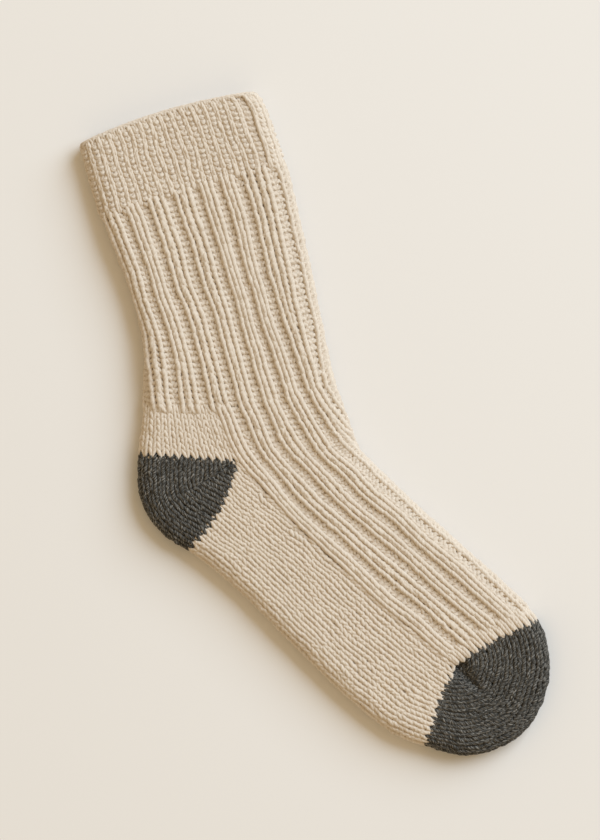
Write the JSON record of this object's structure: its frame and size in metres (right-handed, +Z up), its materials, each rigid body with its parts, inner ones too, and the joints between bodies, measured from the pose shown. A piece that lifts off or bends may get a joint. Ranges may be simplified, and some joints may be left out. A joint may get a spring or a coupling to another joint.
{
  "type": "knitted sock",
  "caption": "Hand-knitted crew sock lying flat: ribbed cuff and leg, plain sole, short-row heel and toe in a darker yarn, open inside.",
  "frame": {"origin": "middle of the sock's bounding box, on the surface that it lies on", "axes": "+Z up from the surface; +Y along the leg towards the mouth; the foot points to +X and -Y, the heel to -X"},
  "size_m": [0.19, 0.3836, 0.015],
  "materials": {
    "oatmeal_wool": "soft woollen knit, slightly fuzzy, oatmeal heather",
    "charcoal_wool": "soft woollen knit, slightly fuzzy, charcoal marl"
  },
  "bodies": {
    "root": {"cast_on_edge": "oatmeal_wool", "ribbed_cuff": "oatmeal_wool", "ribbed_leg": "oatmeal_wool", "heel_band": "oatmeal_wool", "heel_back": "charcoal_wool", "heel_base": "charcoal_wool", "sole": "oatmeal_wool", "instep": "oatmeal_wool", "toe_underside": "charcoal_wool", "toe_top": "charcoal_wool"}
  },
  "joints": []
}
